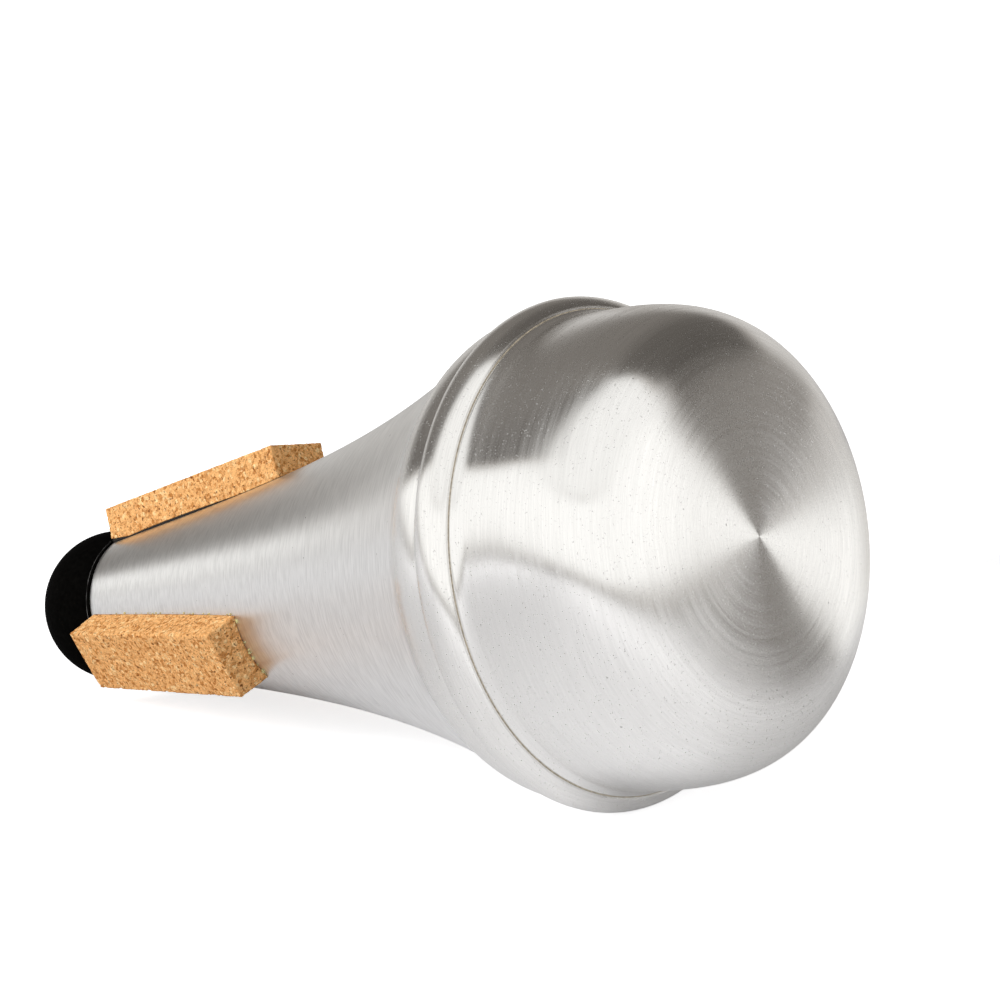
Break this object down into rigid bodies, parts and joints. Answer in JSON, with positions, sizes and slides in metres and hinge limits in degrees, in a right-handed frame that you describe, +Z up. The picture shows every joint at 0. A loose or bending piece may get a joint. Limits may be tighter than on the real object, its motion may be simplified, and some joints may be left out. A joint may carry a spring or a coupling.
{
  "type": "trumpet practice mute",
  "caption": "Trumpet mute of spun aluminium: a flared cone closed by a rounded end bowl, with a rubber nose and cork strips that wedge in the bell.",
  "frame": {"origin": "on the surface the mute lies on, under the middle of its bounding box", "axes": "+Z up; the mute lies on its side with its axis in the XZ plane, the bowl towards +X and the nose towards -X, dipped 12.8 degrees towards the nose; the front cork faces -Y"},
  "size_m": [0.211, 0.1056, 0.1038],
  "materials": {
    "spun_aluminium": "circular brushed satin",
    "black_rubber": "matte",
    "cork": "raw composite cork, medium granules",
    "contact_glue": "dried, with yellowish crumbs at the edges",
    "sealant": "dried adhesive"
  },
  "bodies": {
    "root": {"cone_shell": "spun_aluminium", "end_bowl": "spun_aluminium", "seam_sealant": "sealant", "nose_bumper": "black_rubber", "cork_top": "cork", "cork_back": "cork", "cork_front": "cork", "glue_top": "contact_glue", "glue_back": "contact_glue", "glue_front": "contact_glue"}
  },
  "joints": []
}
